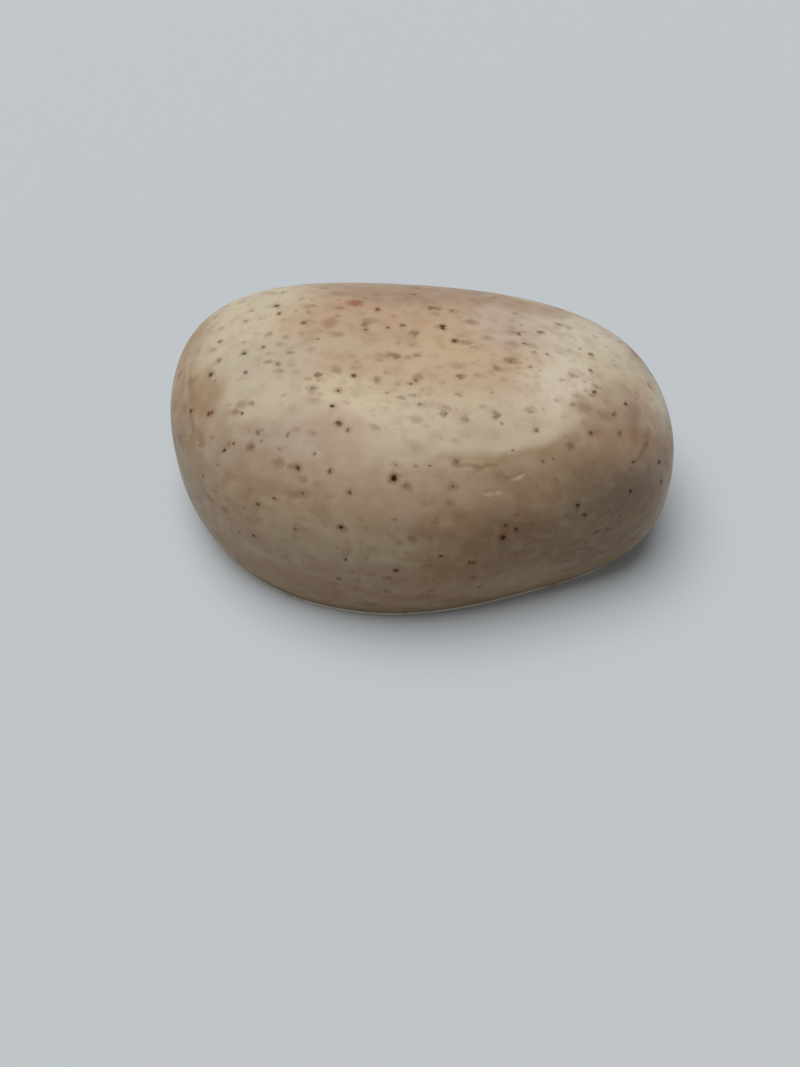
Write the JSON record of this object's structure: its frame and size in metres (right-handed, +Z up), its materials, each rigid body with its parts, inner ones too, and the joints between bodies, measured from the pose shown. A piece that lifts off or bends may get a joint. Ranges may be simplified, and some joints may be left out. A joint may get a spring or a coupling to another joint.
{
  "type": "bar of soap",
  "caption": "Hand-cast bar of soap shaped like a flat river stone, swirled cream, peach and grey with dark specks, for washing hands and body.",
  "frame": {"origin": "on the flat poured face, under the middle of the bar's widest outline", "axes": "+X along the bar from the broad tail to the narrower nose, -Y to the front of the picture, +Z up from the poured face to the crown"},
  "size_m": [0.095, 0.0641, 0.036],
  "materials": {
    "soap": "satin, waxy and slightly translucent, with cream, peach, ochre and lavender-grey swirls and dark specks"
  },
  "bodies": {
    "root": {"soap_bar": "soap"}
  },
  "joints": []
}
